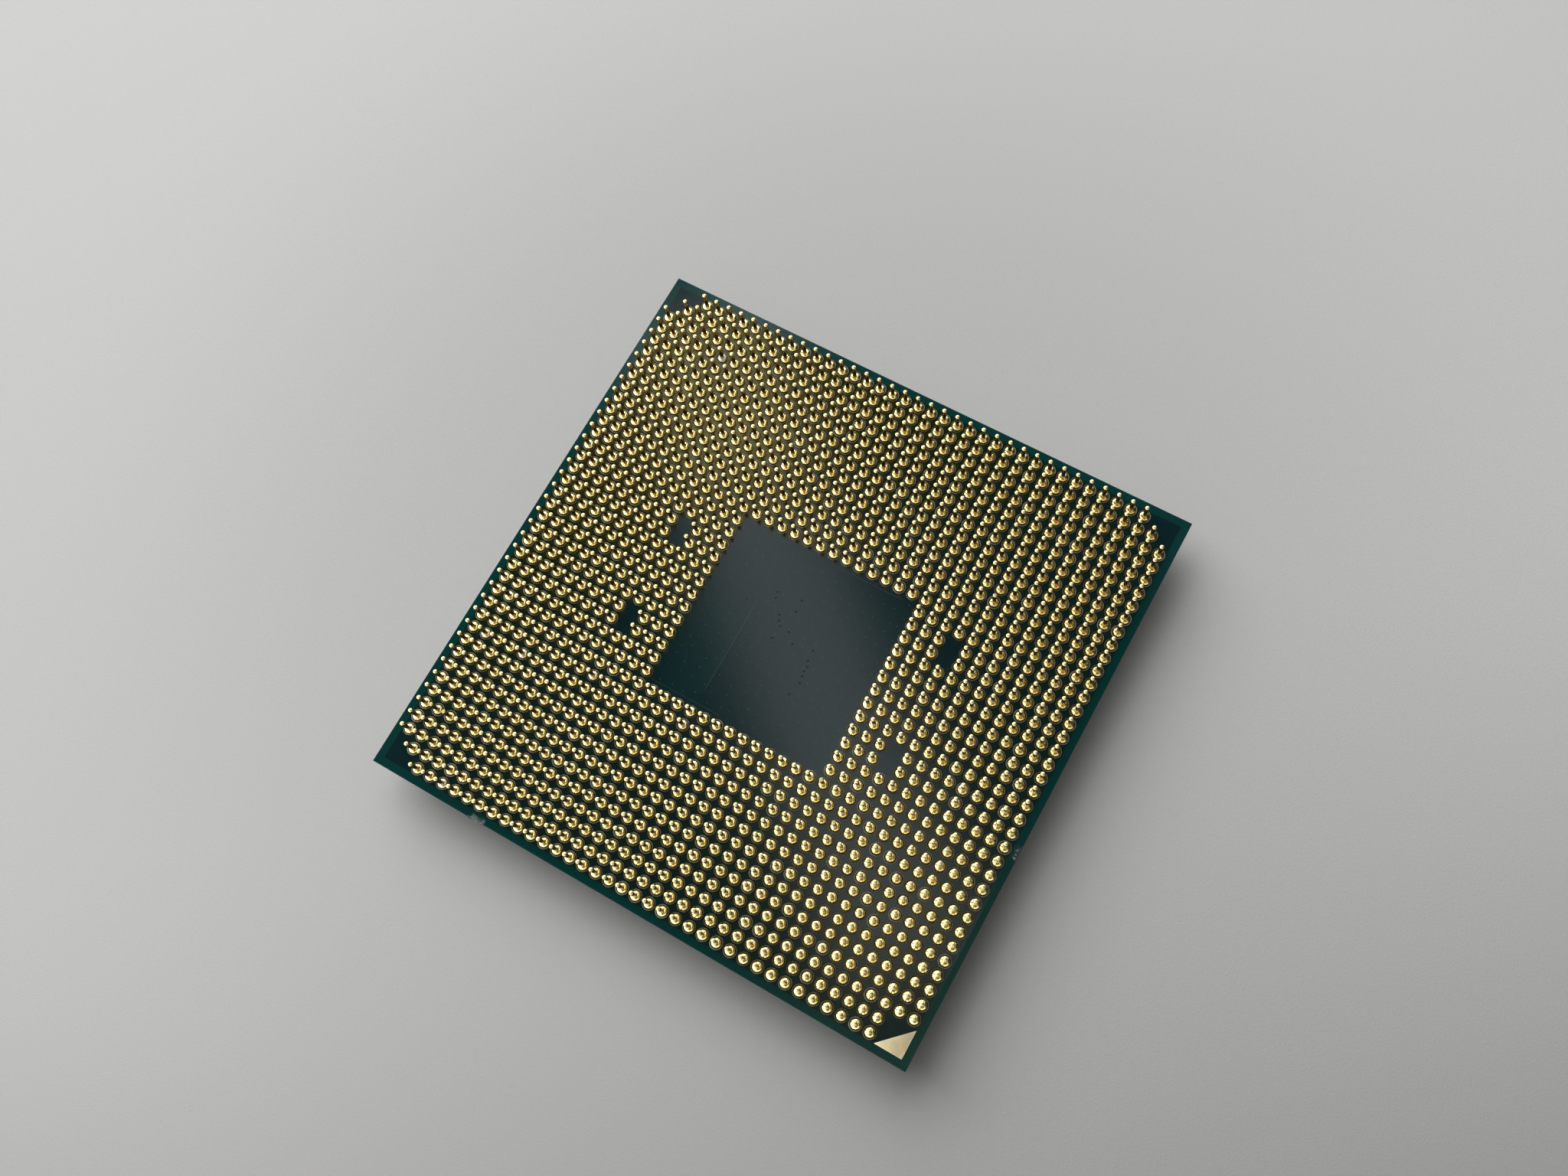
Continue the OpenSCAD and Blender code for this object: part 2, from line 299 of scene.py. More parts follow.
class StageLook(bpy.types.PropertyGroup):
    """The floor, the lights and the camera."""

    floor: colour("Floor", "Pale floor", (0.592, 0.592, 0.584))
    # Painted shade: the floor colour darkens toward the near right, standing in for the fall-off of the
    # light there
    floor_shade: colour("Floor shade", "Floor toward the near right", (0.267, 0.267, 0.267))
    floor_grain: colour("Floor grain", "Specks in the floor", (0.3, 0.3, 0.3))
    shade_way: heading("Shade way", "Direction in which the floor darkens", (0.69, -0.724, 0.0))
    shade_from: length("Shade start", "Where the floor starts to darken, along the shade way", 0)
    shade_to: length("Shade end", "Where the floor is darkest, along the shade way", 70)
    fade_from: length("Fade start", "Distance at which the floor starts to fade into the backdrop", 95)
    fade_to: length("Fade end", "Distance at which the floor has faded into the backdrop", 400)
    # Painted shadow: a dim round spot on the floor round the part, standing in for the broad shadow
    # cast over it
    spot: place("Spot", "Middle of the dim round spot on the floor", (-3.0, 9.5, 0.0))
    shadow_inner: length("Spot inner", "Radius within which the spot is evenly dim", 12.6)
    shadow_outer: length("Spot outer", "Radius at which the spot has faded", 63)
    shadow_depth: amount("Spot depth", "How much dimmer the floor is within the spot", 0.186)
    shown: amount("Shown sky", "Light of the sky as the camera and polished metal see it", 2.05)
    horizon: amount("Horizon", "Shown light at the horizon, as a share of the sky's", 0.45)
    full: amount("Full height", "Height, as a sine, above which the shown sky is full", 0.45)
    slope: amount("Slope", "How much brighter the shown sky is on the key side", 0.6)
    fill: amount("Fill", "Light of the sky on dull surfaces", 0.268)
    fill_full: amount("Fill height", "Height, as a sine, above which the fill is full", 0.93)
    fill_slope: amount("Fill slope", "How much brighter the fill is on the key side", 0.6)
    ceiling: amount("Ceiling", "Shown light of the dark ceiling", 0.02)
    body: colour("Body", "Shown light of the dark body behind the camera", (0.3, 0.19, 0.05))
    body_way: heading("Body way", "Direction of the middle of the dark body", (0.22, -0.22, 0.95))
    body_inner: angle("Body inner", "Half angle of the dark body", 12)
    body_outer: angle("Body outer", "Half angle at which the dark body has faded", 26)
    wall: colour("Wall", "Shown light of the dim wall behind the part", (0.03, 0.027, 0.022))
    wall_way: heading("Wall way", "Direction of the middle of the dim wall", (0.73, 0.511, 0.454))
    wall_inner: angle("Wall inner", "Half angle of the dim wall", 28)
    wall_outer: angle("Wall outer", "Half angle at which the dim wall has faded", 51)
    ceiling_way: heading("Ceiling way", "Way to the dark ceiling's middle", (-0.202, 0.188, 0.961))
    ceiling_inner: angle("Ceiling inner", "Half angle of the dark ceiling", 17)
    ceiling_outer: angle("Ceiling outer", "Half angle at which the dark ceiling has faded", 23)
    key: amount("Key", "Radiance of the large soft light", 3.11)
    key_place: place("Key place", "Middle of the large soft light", (-223.5, 127, 350))
    key_size: length("Key size", "Width of the large soft light", 467)
    strip: amount("Strip", "Radiance of the overhead strip light", 1.22)
    strip_near: place("Strip start", "Start of the strip light", (4, 6, 400))
    strip_bend: place("Strip bend", "Where the strip light turns brighter", (-125, 123, 400))
    strip_far: place("Strip end", "End of the strip light", (-166, 164, 400))
    window: amount("Window", "Radiance of the far part of the strip light", 3.4)
    strip_width: length("Strip width", "Width of the strip light", 44)
    camera: place("Camera", "Place of the camera", (21.091, -19.539, 104.286))
    aim: place("Aim", "Point that the camera looks at", (-1.768, 3.31, 4.3))
    roll: angle("Roll", "Turn of the camera about its line of sight", -16.123)
    lens: amount("Lens", "Focal length on a 36 mm sensor, in millimetres", 36.0)


class Number:
    """A value that varies over a surface. Arithmetic on it adds Math nodes to its graph."""

    def __init__(self, graph, socket):
        self.graph = graph
        self.socket = socket

    def other(self, output):
        """Another output of the same node."""
        return Number(self.graph, self.socket.node.outputs[output])

    def __add__(self, value):
        return self.graph.maths("ADD", self, value)

    def __sub__(self, value):
        return self.graph.maths("SUBTRACT", self, value)

    def __rsub__(self, value):
        return self.graph.maths("SUBTRACT", value, self)

    def __mul__(self, value):
        return self.graph.maths("MULTIPLY", self, value)

    def __truediv__(self, value):
        return self.graph.maths("DIVIDE", self, value)

    def __gt__(self, value):
        return self.graph.maths("GREATER_THAN", self, value)

    def __lt__(self, value):
        return self.graph.maths("LESS_THAN", self, value)

    def __abs__(self):
        return self.graph.maths("ABSOLUTE", self)

    __radd__ = __add__
    __rmul__ = __mul__


class Graph:
    """The nodes of one material or of the world."""

    def __init__(self, tree):
        self.tree = tree
        tree.nodes.clear()

    def node(self, kind, settings=None, sockets=None, output=0):
        """Adds a node, sets it up, feeds its sockets and gives one of its outputs."""
        made = self.tree.nodes.new("ShaderNode" + kind)
        for name, value in (settings or {}).items():
            setattr(made, name, value)
        for key, value in (sockets or {}).items():
            socket = made.inputs[key]
            if isinstance(value, Number):
                self.tree.links.new(value.socket, socket)
            elif socket.type == "RGBA":
                socket.default_value = (*value, 1.0)
            else:
                socket.default_value = value
        return Number(self, made.outputs[output]) if len(made.outputs) else None

    def maths(self, operation, *values):
        return self.node("Math", {"operation": operation}, dict(enumerate(values)))

    def vectors(self, operation, *values, output=0):
        return self.node("VectorMath", {"operation": operation}, dict(enumerate(values)), output)

    def smooth(self, value, low, high):
        """Rises smoothly from 0 at low to 1 at high."""
        settings = {"interpolation_type": "SMOOTHSTEP"}
        return self.node("MapRange", settings, {0: value, 1: low, 2: high, 3: 0.0, 4: 1.0})

    def fade(self, value, low, high):
        """Falls smoothly from 1 at low to 0 at high."""
        return 1.0 - self.smooth(value, low, high)

    def mix(self, factor, a, b):
        return self.node("Mix", {"data_type": "RGBA"}, {0: factor, 6: a, 7: b}, 2)

    def millimetres(self):
        """The point on the piece, in millimetres."""
        point = self.node("TexCoord", output="Object")
        return self.node("VectorMath", {"operation": "SCALE"}, {0: point, "Scale": 1 / MM})

    def split(self, vector):
        parts = self.node("SeparateXYZ", sockets={0: vector})
        return parts, parts.other("Y"), parts.other("Z")

    def noise(self, point, scale, detail=2.0):
        return self.node("TexNoise", sockets={"Vector": point, "Scale": scale, "Detail": detail})

    def cell(self, point):
        """A number from 0 to 1 for each place of the pin grid."""
        corner = self.vectors("FLOOR", self.vectors("ADD", point, (0.5, 0.5, 0.5)))
        return self.node("TexWhiteNoise", {"noise_dimensions": "2D"}, {"Vector": corner}, "Value")

    def around(self, point):
        """The distance in millimetres from the middle of the nearest place of the pin grid."""
        corner = self.vectors("FLOOR", self.vectors("ADD", point, (0.5, 0.5, 0.0)))
        away = self.vectors("MULTIPLY", self.vectors("SUBTRACT", point, corner), (1.0, 1.0, 0.0))
        return self.vectors("LENGTH", away, output="Value")

    def bump(self, height, depth):
        """A normal from a height that runs from 0 to 1, with its depth in millimetres."""
        return self.node("Bump", sockets={"Height": height, "Distance": depth * MM})

    def surface(self, **sockets):
        """Ends the material in one shader, whose sockets are named in small letters."""
        fed = {
            key.replace("_", " ").title().replace("Ior", "IOR"): value for key, value in sockets.items()
        }
        shader = self.node("BsdfPrincipled", sockets=fed)
        self.node("OutputMaterial", sockets={"Surface": shader})


def new_material(name):
    material = bpy.data.materials.new(name)
    material.use_nodes = True
    return material, Graph(material.node_tree)


def mask_material(look):
    """Glossy solder mask, paler along the edges, marked in the bare middle, with a painted golden sheen
    between the pins.
    """
    material, g = new_material("solder_mask")
    point = g.millimetres()
    x, y, _ = g.split(point)
    half = BOARD_HALF / MM
    border = look.border / MM
    outermost = g.maths("MAXIMUM", abs(x), abs(y))
    inward = half - outermost + 0.06 * (g.noise(point, scale=1.3) - 0.5)
    copper = g.smooth(inward, border - COPPER_BLUR, border + COPPER_BLUR)
    tone = g.mix(copper, look.mask, look.plane)

    middle = outermost < BARE_HALF + HALF_STEP
    pits = 0.0
    for px, py in MASK_PITS:
        away = g.vectors("DISTANCE", point, (px, py, PIN_SIDE / MM), output="Value")
        pits = g.maths("MAXIMUM", pits, g.fade(away, *PIT_EDGE))
    line = g.fade(abs(x - LINE_X), *LINE_EDGE) * g.fade(abs(y - LINE_Y), *LINE_END)
    for centre, place_y in SEAMS:
        seam = g.fade(abs(y - place_y), *SEAM_EDGE) * (abs(x - centre) < SEAM_HALF)
        line = g.maths("MAXIMUM", line, seam)
    scatter = {"Vector": point, **SPECK_SCATTER}
    dot = g.node("TexVoronoi", {"voronoi_dimensions": "2D"}, scatter, "Distance")
    specks = g.fade(dot, *SPECK_EDGE) * middle
    pale = g.fade(x, *PALE_RIGHT) * g.fade(y, *PALE_BACK) * middle
    tone = g.mix(pale * PALE_SHARE, tone, look.mask)
    tone = g.mix(line * LINE_SHARE, tone, look.chip)
    tone = g.mix(specks * SPECK_SHARE, tone, look.chip)
    tone = g.mix(pits * PIT_SHARE, tone, PIT_TONE)

    torn = g.smooth(g.noise(point, scale=7.0, detail=3.0), 0.5, 0.58)
    right = g.smooth(x, *(half - inset for inset in RIGHT_SCUFF_EDGE))
    right = right * g.fade(abs(y - RIGHT_CHIP), *RIGHT_SCUFF_END)
    front = g.smooth(0.0 - y, *(half - inset for inset in FRONT_SCUFF_EDGE))
    front = front * g.fade(abs(x - FRONT_SCUFF), *FRONT_SCUFF_END)
    tone = g.mix(torn * g.maths("MAXIMUM", right, front) * CHIP_SHARE, tone, look.chip)

    last = GRID_HALF + HALF_STEP
    plain_corners = (abs(x) + abs(y)) > GRID_HALF - CORNER_STEPS + last
    marker_corner = g.maths("MINIMUM", x, 0.0 - y) > last - MARKER_CLEAR
    empty = g.maths("MAXIMUM", g.maths("MAXIMUM", middle, plain_corners), marker_corner)
    for gap, centre in KEY_GAPS:
        inside = (abs(x - gap) < HALF_STEP) * (abs(y - centre) < 2 * HALF_STEP)
        empty = g.maths("MAXIMUM", empty, inside)
    field = copper * (1.0 - empty)
    tone = g.mix(field, tone, look.field)

    grain = g.noise(point, scale=22.0, detail=2.0)
    height = 0.1 * grain + 0.12 * g.noise(point, scale=2.2) - pits + 0.1 * line + 0.1 * specks
    g.surface(
        base_color=tone,
        roughness=0.105 + 0.05 * g.noise(point, scale=4.0) + 0.2 * pits,
        normal=g.bump(height, depth=0.004),
        # Painted sheen: the tinted coat, heaviest at the back left, paints a golden reflection between
        # the pins
        coat_weight=field * g.fade(x - y, *SHEEN_EDGE),
        coat_tint=look.sheen_tint,
        coat_ior=1.15,
        coat_roughness=0.2,
    )
    return material


def laminate_material(look):
    """The board's cut edge: glass cloth in resin, with a line at each layer."""
    material, g = new_material("laminate_edge")
    point = g.millimetres()
    _, _, z = g.split(point)
    layer = abs(g.maths("FRACT", (z + 0.03 * g.noise(point, scale=0.8)) / LAYER_PITCH) - 0.5)
    lines = g.fade(layer, 0.06, 0.16)
    fibres = g.noise(g.vectors("MULTIPLY", point, LAID_GRAIN), scale=9.0, detail=3.0)
    tone = g.mix(lines * 0.7, look.laminate, look.layer)
    tone = g.mix(g.smooth(fibres, 0.45, 0.75) * 0.5, tone, look.mask)
    g.surface(base_color=tone, roughness=0.5 + 0.25 * fibres, normal=g.bump(fibres, depth=0.012))
    return material


def gold_material(look):
    """Gold plate, a little different on each pin, with solder over a few heads, and painted shade on
    the heads' rims, toward the back right and on the shafts.
    """
    material, g = new_material("gold_plate")
    point = g.millimetres()
    x, y, z = g.split(point)
    foot, top = PIN_SIDE / MM, PIN_LENGTH / MM
    height = z - foot
    waves = g.noise(point, scale=5.0, detail=2.0)
    thick = 0.5 * g.cell(point) + 0.5 * g.smooth(waves, 0.35, 0.7)
    tone = g.mix(thick, look.gold, look.deep_gold)

    # Painted shade: the head stays bright only on its dome; its rim and the foot of the shaft take the
    # darker flank gold
    from_axis = g.around(point)
    head = g.smooth(from_axis, *HEAD_INNER) * g.fade(from_axis, *HEAD_OUTER)
    # Painted shade: the heads darken toward the back right
    bright = head * (1.0 - BACK_SHADE_SHARE * g.smooth(x + y, *BACK_SHADE_REACH))
    tone = g.mix(bright, look.flank_shade, tone)
    tip = g.smooth(height, *(top - below for below in TIP_BAND))
    # Painted shade: the shafts above their foot are darkened to the shaft gold
    shaft = g.smooth(height, *SHAFT_FOOT) * (1.0 - tip)
    tone = g.mix(shaft, tone, look.shade)
    tone = g.mix(tip, tone, look.tip_gold)

    coat = 0.0
    for column, row, share in COATED_PINS:
        away = g.vectors("DISTANCE", point, (column, row, foot), output="Value")
        coat = coat + share * g.fade(away, *COAT_EDGE)
    tone = g.mix(coat * COAT_SHARE, tone, look.coated)
    g.surface(
        base_color=tone,
        metallic=1.0,
        roughness=0.1 + 0.06 * waves + 0.2 * coat + 0.25 * tip,
        normal=g.bump(waves, depth=0.0015),
    )
    return material


def solder_material(look):
    """Solder round each pin head, plain on its outer crest, with painted shade darkening the crevice
    beside the head.
    """
    material, g = new_material("pin_solder")
    point = g.millimetres()
    grain = g.noise(point, scale=8.0, detail=2.0)
    crest = g.smooth(g.around(point) + 0.03 * (grain - 0.5), *CREST_EDGE)
    g.surface(
        base_color=g.mix(crest, look.crevice_shade, look.solder),
        metallic=1.0,
        roughness=0.28 + 0.2 * grain,
        normal=g.bump(grain, depth=0.01),
    )
    return material


def shares(tone, low, high):
    """A darker and a paler form of a colour."""
    return [value * low for value in tone], [min(value * high, 1.0) for value in tone]


def marker_material(look, low, high):
    """Matt gold plate with a painted highlight along the three edges of the marker."""
    material, g = new_material("marker_plate")
    point = g.millimetres()
    x, y, _ = g.split(point)
    long_edge = ((x - low.x / MM) - (y - low.y / MM)) * math.sqrt(0.5)
    inward = g.maths("MINIMUM", g.maths("MINIMUM", high.x / MM - x, y - low.y / MM), long_edge)
    grain = g.noise(point, scale=9.0, detail=3.0)
    cloud = g.noise(point, scale=2.2, detail=2.0)
    tone = g.mix(g.smooth(0.5 * grain + 0.5 * cloud, *MOTTLE), *shares(look.marker, 0.9, 1.06))
    # Painted highlight along the edges
    tone = g.mix(0.8 * g.fade(inward, *RIM_HIGHLIGHT_EDGE), tone, look.rim_highlight)
    g.surface(
        base_color=tone, metallic=1.0, roughness=0.42 + 0.12 * cloud, normal=g.bump(grain, depth=0.004)
    )
    return material


def metal_material(name, tone, stretch=EVEN_GRAIN):
    """A plated or cast metal with a mottled tone and a fine grain."""
    low, high, roughness, scale, depth = FINISHES[name]
    material, g = new_material(name)
    point = g.millimetres()
    grain = g.noise(g.vectors("MULTIPLY", point, stretch), scale=scale, detail=3.0)
    cloud = g.noise(point, scale=scale * 0.12, detail=2.0)
    g.surface(
        base_color=g.mix(g.smooth(0.6 * grain + 0.4 * cloud, *MOTTLE), *shares(tone, low, high)),
        metallic=1.0,
        roughness=roughness * (0.75 + 0.5 * cloud),
        normal=g.bump(grain, depth=depth),
    )
    return material


def filler_material(name, tone):
    """Resin, sealant, silicon or ceramic with a mottled tone and a fine grain."""
    low, high, roughness, scale, depth = FINISHES[name]
    material, g = new_material(name)
    point = g.millimetres()
    grain = g.noise(point, scale=scale, detail=3.0)
    cloud = g.noise(point, scale=scale * 0.15, detail=2.0)
    g.surface(
        base_color=g.mix(g.smooth(0.5 * grain + 0.5 * cloud, *MOTTLE), *shares(tone, low, high)),
        roughness=roughness * (0.75 + 0.5 * cloud),
        normal=g.bump(grain, depth=depth),
    )
    return material


def floor_material(look):
    """A pale table top with painted shade, darker toward the near right and dimmer in a round spot,
    that fades into the backdrop.
    """
    material, g = new_material("pale_floor")
    point = g.millimetres()
    grain = g.noise(point, scale=7.0, detail=3.0)
    # Painted shade: the floor's colour darkens along the shade way
    toward = g.vectors("DOT_PRODUCT", point, look.shade_way, output="Value")
    shade = g.smooth(toward, look.shade_from / MM, look.shade_to / MM)
    tone = g.mix(shade, look.floor, look.floor_shade)
    # Painted shadow: the floor is dimmed in a round spot round the part
    away = g.vectors("DISTANCE", point, Vector(look.spot) / MM, output="Value")
    spot = g.fade(away, look.shadow_inner / MM, look.shadow_outer / MM)
    tone = g.mix(look.shadow_depth * spot, tone, BLACK)
    tone = g.mix(0.06 * g.smooth(grain, *MOTTLE), tone, look.floor_grain)
    far = g.vectors("LENGTH", point, output="Value")
    fade = g.smooth(far, look.fade_from / MM, look.fade_to / MM)
    g.surface(
        base_color=tone,
        roughness=0.6 + 0.2 * grain,
        normal=g.bump(grain, depth=0.02),
        alpha=1.0 - fade * g.node("LightPath", output="Is Camera Ray"),
    )
    return material


def has_pin(column, row):
    """Whether the place has a pin, by the rules of the part's source."""
    if max(abs(column), abs(row)) <= BARE_HALF:
        return False
    if 2 * GRID_HALF - abs(column) - abs(row) < CORNER_STEPS:
        return False
    if min(column, -row) > GRID_HALF - MARKER_CLEAR:
        return False
    return not any(column == gap and abs(row - middle) < KEY_REACH for gap, middle in KEY_GAPS)


def pin_columns(row):
    return [column for column in range(-GRID_HALF, GRID_HALF + 1) if has_pin(column, row)]


def turned_mesh(name, outline, sides, closed):
    """Spins an outline of radii and heights round the Z axis into a closed shell."""
    bm = bmesh.new()
    verts = [bm.verts.new((radius, 0.0, height)) for radius, height in outline]
    edges = [bm.edges.new(pair) for pair in zip(verts, verts[1:])]
    if closed:
        edges.append(bm.edges.new((verts[-1], verts[0])))
    bmesh.ops.spin(
        bm,
        geom=verts + edges,
        cent=(0, 0, 0),
        axis=UP,
        angle=math.tau,
        steps=sides,
        use_merge=True,
    )
    if not closed:
        bmesh.ops.holes_fill(bm, edges=[edge for edge in bm.edges if edge.is_boundary], sides=sides)
    bmesh.ops.recalc_face_normals(bm, faces=bm.faces)
    for face in bm.faces:
        face.smooth = True
    mesh = bpy.data.meshes.new(name)
    bm.to_mesh(mesh)
    bm.free()
    return mesh


def add_copy(bm, pattern, matrix):
    """Adds a copy of a pattern mesh at a place."""
    first = len(bm.verts)
    bm.from_mesh(pattern)
    bm.verts.ensure_lookup_table()
    bmesh.ops.transform(bm, matrix=matrix, verts=bm.verts[first:])


def new_piece(name, bm, materials, node, sharp):
    """Makes a bmesh a piece that stands for a CAD node, with creases sharper than an angle kept."""
    for edge in bm.edges:
        edge.smooth = edge.calc_face_angle(0.0) < math.radians(sharp)
    mesh = bpy.data.meshes.new(name)
    bm.to_mesh(mesh)
    bm.free()
    for material in materials:
        mesh.materials.append(material)
    piece = bpy.data.objects.new(name, mesh)
    bpy.context.scene.collection.objects.link(piece)
    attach(piece, "root")
    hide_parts(node)
    return piece


def soften(bm, edges, width, segments=2):
    """Rounds edges."""
    bmesh.ops.bevel(
        bm,
        geom=edges,
        offset=width,
        offset_type="OFFSET",
        affect="EDGES",
        segments=segments,
        profile=0.5,
        material=-1,
        clamp_overlap=True,
    )


class PROCESSOR_OT_board(bpy.types.Operator):
    """Builds the board with its softened and chipped edges"""

    bl_idname = "processor.board"
    bl_label = "Board"

    def execute(self, context):
        look = context.scene.processor_board
        size = BOARD_HIGH - BOARD_LOW
        middle = (BOARD_HIGH + BOARD_LOW) / 2
        block = Matrix.Translation(middle) @ Matrix.Diagonal((*size, 1.0))
        bm = bmesh.new()
        bmesh.ops.create_cube(bm, size=1.0, matrix=block)
        upper = max(bm.faces, key=lambda face: face.calc_center_median().z)
        bmesh.ops.inset_region(bm, faces=[upper], thickness=look.margin, use_even_offset=True)
        draw = random.Random(CHIP_SEED)
        sides = (
            (Vector((0, 1, 0)), Vector((1, 0, 0)), RIGHT_CHIP, RIGHT_REACH, RIGHT_CUTS),
            (Vector((1, 0, 0)), Vector((0, -1, 0)), FRONT_CHIP, FRONT_REACH, FRONT_CUTS),
        )
        near = BOARD_HALF - look.margin
        for along, outward, centre, reach, cuts in sides:
            for cut in range(cuts + 1):
                stray = draw.uniform(-CUT_STRAY, CUT_STRAY)
                at = (centre - reach + 2 * reach * cut / cuts + stray) * MM
                faces = [f for f in bm.faces if f.calc_center_median().dot(outward) > near]
                geom = dict.fromkeys(part for f in faces for part in (*f.verts, *f.edges, f))
                bmesh.ops.bisect_plane(bm, geom=list(geom), plane_co=along * at, plane_no=along)
        rim = BOARD_HALF - look.margin / 2
        for vert in [v for v in bm.verts if v.co.z > middle.z]:
            right = vert.co.x > rim and abs(vert.co.y / MM - RIGHT_CHIP) < RIGHT_REACH - CHIP_END
            front = vert.co.y < -rim and abs(vert.co.x / MM - FRONT_CHIP) < FRONT_REACH - CHIP_END
            if right:
                inward = draw.uniform(*RIGHT_CHIP_IN)
                vert.co += Vector((-inward, 0.0, -draw.uniform(*RIGHT_CHIP_DOWN))) * MM
            elif front:
                inward = draw.uniform(*FRONT_CHIP_IN)
                vert.co += Vector((0.0, inward, -draw.uniform(*FRONT_CHIP_DOWN))) * MM
        soften(bm, [e for e in bm.edges if e.calc_face_angle(0.0) > CORNER_ANGLE], look.edge)
        for face in bm.faces:
            face.smooth = face.calc_area() < 4 * look.edge * BOARD_HALF
            face.material_index = 1 if abs(face.normal.z) < WALL_RISE else 0
        materials = [mask_material(look), laminate_material(look)]
        new_piece("board_dressed", bm, materials, "board", sharp=30)
        return {"FINISHED"}


class PROCESSOR_OT_marker(bpy.types.Operator):
    """Builds the plated triangle in the marker corner"""

    bl_idname = "processor.marker"
    bl_label = "Pin one marker"

    def execute(self, context):
        look = context.scene.processor_board
        low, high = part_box("pin_one_marker")
        bm = bmesh.new()
        corners = [(high.x, low.y, low.z), (high.x, high.y, low.z), (low.x, low.y, low.z)]
        face = bm.faces.new([bm.verts.new(corner) for corner in corners])
        grown = bmesh.ops.extrude_face_region(bm, geom=[face])
        lifted = [item for item in grown["geom"] if isinstance(item, bmesh.types.BMVert)]
        bmesh.ops.translate(bm, vec=(0.0, 0.0, high.z - low.z), verts=lifted)
        bmesh.ops.recalc_face_normals(bm, faces=bm.faces)
        upper = [e for e in bm.edges if all(v.co.z > (low.z + high.z) / 2 for v in e.verts)]
        soften(bm, upper, look.marker_edge)
        for face in bm.faces:
            face.smooth = True
        plate = marker_material(look, low, high)
        new_piece("pin_one_marker_dressed", bm, [plate], "pin_one_marker", sharp=50)
        return {"FINISHED"}


class PROCESSOR_OT_pins(bpy.types.Operator):
    """Builds the rows of gold pins"""

    bl_idname = "processor.pins"
    bl_label = "Pins"

    def execute(self, context):
        look = context.scene.processor_pins
        dome = [(look.head * wide, look.rim + look.dome * rise) for wide, rise in DOME_STEPS]
        outline = [
            (look.head, 0.0),
            *dome,
            (look.shaft, look.rim + look.dome),
            (look.shaft, PIN_LENGTH - look.tip),
            (look.shaft * TIP_SHARE, PIN_LENGTH),
        ]
        pattern = turned_mesh("pin_pattern", outline, look.sides, False)
        gold = gold_material(look)
        draw = random.Random(PIN_SEED)
        for number in range(1, 2 * GRID_HALF + 2):
            row = GRID_HALF + 1 - number
            bm = bmesh.new()
            for column in pin_columns(row):
                spot = Matrix.Translation((column * PITCH, row * PITCH, PIN_SIDE))
                way = draw.uniform(0.0, math.tau)
                hinge = (math.cos(way), math.sin(way), 0.0)
                lean = Matrix.Rotation(draw.gauss(0.0, look.lean), 4, hinge)
                wide = 1.0 + draw.gauss(0.0, look.vary)
                add_copy(bm, pattern, spot @ lean @ Matrix.Diagonal((wide, wide, 1.0, 1.0)))
            node = f"pin_row_{number:02d}"
            new_piece(f"gold_pins_{number:02d}", bm, [gold], node, sharp=40)
        bpy.data.meshes.remove(pattern)
        return {"FINISHED"}


class PROCESSOR_OT_solder(bpy.types.Operator):
    """Builds the solder rings round the pin heads"""

    bl_idname = "processor.solder"
    bl_label = "Pin solder"

    def execute(self, context):
        look = context.scene.processor_pins
        width = look.ring - look.head
        inner = look.head * RING_INNER
        outline = [
            (inner, 0.0),
            (look.ring, 0.0),
            (look.ring - RING_CREST * width, look.crest),
            (look.head + RING_DIP * width, RING_DIP_RISE * look.crest),
            (inner, RING_WALL_RISE * look.crest),
        ]
        pattern = turned_mesh("ring_pattern", outline, look.sides, True)
        solder = solder_material(look)
        draw = random.Random(RING_SEED)
        every = range(-GRID_HALF, GRID_HALF + 1)
        bare = range(-BARE_HALF, BARE_HALF + 1)
        banks = {
            "back": (range(BARE_HALF + 1, GRID_HALF + 1), every),
            "front": (range(-GRID_HALF, -BARE_HALF), every),
            "left": (bare, range(-GRID_HALF, -BARE_HALF)),
            "right": (bare, range(BARE_HALF + 1, GRID_HALF + 1)),
        }
        for side, (rows, columns) in banks.items():
            bm = bmesh.new()
            for row in rows:
                for column in pin_columns(row):
                    if column in columns:
                        spot = Matrix.Translation((column * PITCH, row * PITCH, PIN_SIDE))
                        tall = draw.uniform(*RING_TALL)
                        wide = draw.uniform(*RING_WIDE)
                        add_copy(bm, pattern, spot @ Matrix.Diagonal((wide, wide, tall, 1.0)))
            node = f"pin_solder_{side}"
            new_piece(f"solder_rings_{side}", bm, [solder], node, sharp=75)
        bpy.data.meshes.remove(pattern)
        return {"FINISHED"}


def rounded_loop(bm, width, radius, height, corner_steps=6):
    """Adds a square outline with round corners, and gives its edges and the face inside it."""
    before = set(bm.edges)
    made = bmesh.ops.create_grid(
        bm, x_segments=1, y_segments=1, size=width / 2, matrix=Matrix.Translation((0.0, 0.0, height))
    )
    bmesh.ops.bevel(
        bm,
        geom=made["verts"],
        offset=radius,
        offset_type="OFFSET",
        affect="VERTICES",
        segments=corner_steps,
        profile=0.5,
        material=-1,
    )
    edges = [edge for edge in bm.edges if edge not in before]
    return edges, edges[0].link_faces[0]


